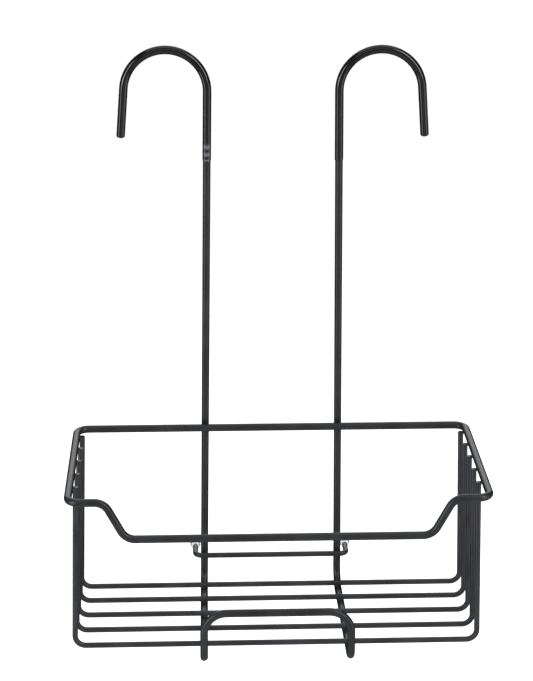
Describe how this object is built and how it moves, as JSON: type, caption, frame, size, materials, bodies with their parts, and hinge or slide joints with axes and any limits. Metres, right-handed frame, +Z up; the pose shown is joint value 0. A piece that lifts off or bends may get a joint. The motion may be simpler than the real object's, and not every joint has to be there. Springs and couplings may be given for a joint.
{
  "type": "hanging shower caddy",
  "caption": "Black wire shower caddy: a basket with a dipped front rim on two long uprights that hook outwards over a bar mixer's unions, with clear wall bumpers.",
  "frame": {"origin": "middle of the outer size in X and Y, at the underside of the two floor runs", "axes": "+Z up along the uprights, the basket's open front towards -Y, the wall towards +Y, +X to the right seen from the front"},
  "size_m": [0.2916, 0.1586, 0.4155],
  "materials": {
    "coated_steel": "satin black powder coat",
    "soft_sleeve": "glossy soft vinyl",
    "clear_bumper": "clear soft vinyl"
  },
  "bodies": {
    "root": {"hanger_wire": "coated_steel", "rim_wire": "coated_steel", "basket_wire_1": "coated_steel", "basket_wire_2": "coated_steel", "basket_wire_3": "coated_steel", "basket_wire_4": "coated_steel", "basket_wire_5": "coated_steel", "wall_bracket_wire": "coated_steel", "hook_sleeve_left": "soft_sleeve", "hook_sleeve_right": "soft_sleeve", "wall_bumper_left": "clear_bumper", "wall_bumper_right": "clear_bumper"}
  },
  "joints": []
}
